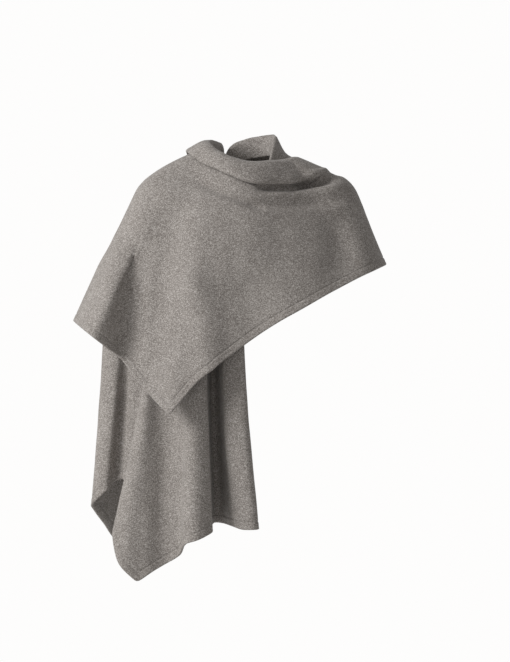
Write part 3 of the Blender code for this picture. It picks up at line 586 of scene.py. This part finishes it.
def stitchLine(side, facing, away):    # along the hem, round its corners and up the free edge
    width = hem["width"]
    rows, columns = away.shape
    points = []
    for i in range(1, rows):
        part = away[i, -hemReach:]
        inside = np.nonzero(part >= width)[0]
        if len(inside) == 0:
            break
        j = columns - hemReach + inside[-1]
        t = (away[i, j] - width) / (away[i, j] - away[i, j + 1])
        points.append(np.concatenate((side[i, j] + (side[i, j + 1] - side[i, j]) * t, facing[i, j])))
    turn = j
    for c in range(turn, 3 * cloth["legSteps"], -1):
        inside = np.nonzero(away[-endReach:, c] >= width)[0]
        i = rows - endReach + inside[-1]
        t = (away[i, c] - width) / (away[i, c] - away[i + 1, c])
        points.append(np.concatenate((side[i, c] + (side[i + 1, c] - side[i, c]) * t, facing[i, c])))
    return np.array(points)


def stitchRow(line, outward):    # points and faces of one row of stitches
    reach = np.concatenate(([0.0], np.cumsum(np.linalg.norm(np.diff(line[:, :3], axis=0), axis=1))))
    places = np.arange(stitch["step"], reach[-1] - stitch["step"], stitch["step"])
    half = stitch["length"] / 2.0
    at = [np.column_stack([np.interp(places + k, reach, line[:, c]) for c in range(6)]) for k in (-half, 0.0, half)]
    along = unit(at[2][:, :3] - at[0][:, :3])
    up = unit(at[1][:, 3:]) * outward
    across = np.cross(along, up)
    sides = stitch["sides"]
    rings = []
    for share, width, lift in stitch["rings"]:
        middle = at[1][:, :3] + along * share * stitch["length"] + up * lift * stitch["radius"]
        for k in range(sides):
            turn = 2.0 * math.pi * k / sides
            reachOut = up * math.cos(turn) + across * math.sin(turn)
            rings.append(middle + reachOut * width * stitch["radius"])
    points = np.stack(rings, axis=1).reshape(-1, 3)
    each = len(rings)
    faces = []
    for n in range(len(places)):
        for ring in range(len(stitch["rings"]) - 1):
            a = n * each + ring * sides
            faces += [(a + k, a + (k + 1) % sides, a + sides + (k + 1) % sides, a + sides + k) for k in range(sides)]
        faces.append(tuple(n * each + k for k in reversed(range(sides))))
        faces.append(tuple(n * each + each - sides + k for k in range(sides)))
    return points, faces


def stitchPiece(name, outer, inner, facing, away):
    outside, outFaces = stitchRow(stitchLine(outer, facing, away), 1.0)
    inside, inFaces = stitchRow(stitchLine(inner, facing, away), -1.0)
    shifted = [tuple(k + len(outside) for k in face) for face in inFaces]
    return meshPiece(name, np.vstack((outside, inside)), outFaces + shifted)


sheetScale = 1.15
grid, gridPlaces = layOut()
print("cloth laid out:", grid.shape)
grid, outerSide, innerSide, facing, away = clothSides(grid)
stole = clothPiece("feltedWrap", grid, outerSide, innerSide, facing)
print("cloth triangles:", 2 * len(stole.data.polygons))
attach(stole, "root")
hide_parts("end_front", "side_fold", "back_wrap", "wrap_front", "end_over_shoulder", "hem_end_front",
            "hem_tip", "hem_side", "hem_back", "hem_wrap_front", "hem_short_edge", "hem_short_edge_back",
            "hem_free_edge")
stitches = stitchPiece("topStitching", outerSide, innerSide, facing, away)
print("stitch faces:", len(stitches.data.polygons))
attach(stitches, "root")


class Wire:    # one socket of a shader, so that its maths reads as plain expressions
    def __init__(self, tree, socket=None):
        self.tree = tree
        self.socket = socket

    def node(self, kind, settings, inputs, output=0):    # any node: its settings, then its sockets
        made = self.tree.nodes.new(kind)
        for key, value in settings.items():
            if key == "stops":
                elements = made.color_ramp.elements
                for extra in range(len(value) - len(elements)):
                    elements.new(1.0)
                for element, (position, colour) in zip(elements, value):
                    element.position = position
                    element.color = (*colour, 1.0)
            else:
                setattr(made, key, value)
        for key, value in inputs.items():
            if isinstance(value, Wire):
                self.tree.links.new(value.socket, made.inputs[key])
            else:
                made.inputs[key].default_value = value
        return Wire(self.tree, made.outputs[output])

    def feed(self, socket):
        self.tree.links.new(self.socket, socket)

    def __add__(self, other):
        return self.node("ShaderNodeMath", {"operation": "ADD"}, {0: self, 1: other})

    def __radd__(self, other):
        return self.node("ShaderNodeMath", {"operation": "ADD"}, {0: other, 1: self})

    def __sub__(self, other):
        return self.node("ShaderNodeMath", {"operation": "SUBTRACT"}, {0: self, 1: other})

    def __mul__(self, other):
        return self.node("ShaderNodeMath", {"operation": "MULTIPLY"}, {0: self, 1: other})

    def __rmul__(self, other):
        return self.node("ShaderNodeMath", {"operation": "MULTIPLY"}, {0: other, 1: self})


felt = {
    "base": (0.218, 0.198, 0.182),
    "dark": (0.120, 0.106, 0.095),
    "light": (0.420, 0.394, 0.370),
    "stops": (0.1, 0.5, 0.95),    # dark, base, light
    "roughness": 0.95,
    "specular": 0.2,
    "sheen": 0.12,
    "sheenRoughness": 0.45,
    "grainScale": 300.0,     # light and dark wool mixed
    "fleckScale": 550.0,     # the same, finer
    "fibreScale": 150.0,     # single light fibres that lie over it
    "fibreDraw": 3.4,        # how much longer than wide they are
    "fibreTurns": (38.0, 57.0),
    "fibreFrom": 0.06,
    "fibreTo": 0.20,
    "cloudScale": 26.0,
    "grainDepth": 0.5,
    "fleckDepth": 4.0,
    "cloudDepth": 0.5,
    "fibreLight": 0.38,
    "bumpStrength": 0.55,
    "bumpDistance": 0.0012,
}


def feltMaterial(name):
    material = bpy.data.materials.new(name)
    material.use_nodes = True
    shader = material.node_tree.nodes["Principled BSDF"]
    felting = Wire(material.node_tree)
    place = felting.node("ShaderNodeTexCoord", {}, {}, "Object")

    def grain(scale, detail, at=place):    # noise about zero
        inputs = {"Vector": at, "Scale": scale, "Detail": detail, "Roughness": 0.6}
        return felting.node("ShaderNodeTexNoise", {}, inputs) - 0.5

    def fibres(turn, scale):    # thin marks, drawn out along one slanting direction
        drawn = {"Vector": place, "Rotation": (0.0, math.radians(turn), 0.0), "Scale": (1.0, 1.0, felt["fibreDraw"])}
        marks = grain(scale, 1.0, felting.node("ShaderNodeMapping", {}, drawn))
        limits = {"Value": marks, "From Min": felt["fibreFrom"], "From Max": felt["fibreTo"]}
        return felting.node("ShaderNodeMapRange", {"interpolation_type": "SMOOTHSTEP"}, limits)

    coarse = grain(felt["grainScale"], 2.0)
    fine = grain(felt["fleckScale"], 1.0)
    cloud = grain(felt["cloudScale"], 3.0)
    first, second = felt["fibreTurns"]
    fibre = (fibres(first, felt["fibreScale"]) + fibres(second, felt["fibreScale"] * 1.07)) * felt["fibreLight"]
    tone = coarse * felt["grainDepth"] + fine * felt["fleckDepth"] + cloud * felt["cloudDepth"] + fibre
    stops = tuple(zip(felt["stops"], (felt["dark"], felt["base"], felt["light"])))
    felting.node("ShaderNodeValToRGB", {"stops": stops}, {"Fac": tone * 0.5 + 0.5}).feed(shader.inputs["Base Color"])
    shader.inputs["Roughness"].default_value = felt["roughness"]
    shader.inputs["Sheen Weight"].default_value = felt["sheen"]
    shader.inputs["Sheen Roughness"].default_value = felt["sheenRoughness"]
    shader.inputs["Specular IOR Level"].default_value = felt["specular"]
    height = coarse * 0.6 + fine * 0.4 + fibre * 0.4
    bump = {"Strength": felt["bumpStrength"], "Distance": felt["bumpDistance"], "Height": height}
    felting.node("ShaderNodeBump", {}, bump).feed(shader.inputs["Normal"])
    return material


thread = {
    "dark": (0.165, 0.150, 0.137),
    "light": (0.300, 0.278, 0.256),
    "roughness": 0.7,
    "twistScale": 900.0,
    "twistDepth": 1.5,
}


def threadMaterial(name):
    material = bpy.data.materials.new(name)
    material.use_nodes = True
    shader = material.node_tree.nodes["Principled BSDF"]
    spinning = Wire(material.node_tree)
    place = spinning.node("ShaderNodeTexCoord", {}, {}, "Object")
    twist = spinning.node("ShaderNodeTexNoise", {}, {"Vector": place, "Scale": thread["twistScale"], "Detail": 1.0})
    stops = ((0.0, thread["dark"]), (1.0, thread["light"]))
    shade = (twist - 0.5) * thread["twistDepth"] + 0.5
    spinning.node("ShaderNodeValToRGB", {"stops": stops}, {"Fac": shade}).feed(shader.inputs["Base Color"])
    shader.inputs["Roughness"].default_value = thread["roughness"]
    return material


stole.data.materials.append(feltMaterial("feltedWool"))
stitches.data.materials.append(threadMaterial("hemThread"))
print("felt and thread made")

studio = {
    "cameraDistance": 9.0,
    "aim": (0.0205, -0.3403),    # x and z at the middle of the picture
    "pixelSize": 0.00205,        # metres to a pixel, at sharpPlane
    "sharpPlane": -0.10,
    "pictureHeight": 662,
    "sensor": 36.0,
    "floorHeight": -1.45,
    "floorReach": 4.5,
    "white": (0.93, 0.925, 0.915),
    "wall": (1.0, 0.995, 0.99),
    "wallBrightness": 0.985,     # as the camera sees it
    "skyBrightness": 0.42,       # as it lights the cloth
}


def makeCamera():
    data = bpy.data.cameras.new("camera")
    data.sensor_width = studio["sensor"]
    away = studio["cameraDistance"] + studio["sharpPlane"]
    data.lens = studio["sensor"] * away / (studio["pictureHeight"] * studio["pixelSize"])
    data.clip_end = 100.0
    camera = bpy.data.objects.new("camera", data)
    camera.location = (studio["aim"][0], -studio["cameraDistance"], studio["aim"][1])
    camera.rotation_euler = (math.radians(90.0), 0.0, 0.0)
    bpy.context.scene.collection.objects.link(camera)
    bpy.context.scene.camera = camera


def areaLight(name, place, target, size, power):
    data = bpy.data.lights.new(name, "AREA")
    data.shape = "RECTANGLE"
    data.size, data.size_y = size
    data.energy = power
    light = bpy.data.objects.new(name, data)
    light.location = place
    light.rotation_euler = (Vector(target) - Vector(place)).to_track_quat("-Z", "Y").to_euler()
    bpy.context.scene.collection.objects.link(light)


def makeStudio():
    bpy.context.scene.view_settings.view_transform = "Standard"
    world = bpy.data.worlds.new("studioWorld")
    world.use_nodes = True
    back = world.node_tree.nodes["Background"]
    back.inputs["Color"].default_value = (*studio["wall"], 1.0)
    seen = Wire(world.node_tree).node("ShaderNodeLightPath", {}, {}, "Is Camera Ray")
    strength = seen * (studio["wallBrightness"] - studio["skyBrightness"]) + studio["skyBrightness"]
    strength.feed(back.inputs["Strength"])
    bpy.context.scene.world = world
    mesh = bpy.data.meshes.new("floor")
    reach = studio["floorReach"]
    ring = [(reach * math.cos(k * math.pi / 48), reach * math.sin(k * math.pi / 48), studio["floorHeight"])
            for k in range(96)]
    mesh.from_pydata(ring, [], [tuple(range(96))])
    floor = bpy.data.objects.new("floor", mesh)
    bpy.context.scene.collection.objects.link(floor)
    paint = bpy.data.materials.new("floorPaint")
    paint.use_nodes = True
    shader = paint.node_tree.nodes["Principled BSDF"]
    shader.inputs["Base Color"].default_value = (*studio["white"], 1.0)
    shader.inputs["Roughness"].default_value = 0.9
    mesh.materials.append(paint)
    areaLight("keyLight", (-3.05, -1.38, 1.25), (0.0, 0.0, -0.35), (1.6, 1.6), 132.0)


makeCamera()
makeStudio()
print("studio made")
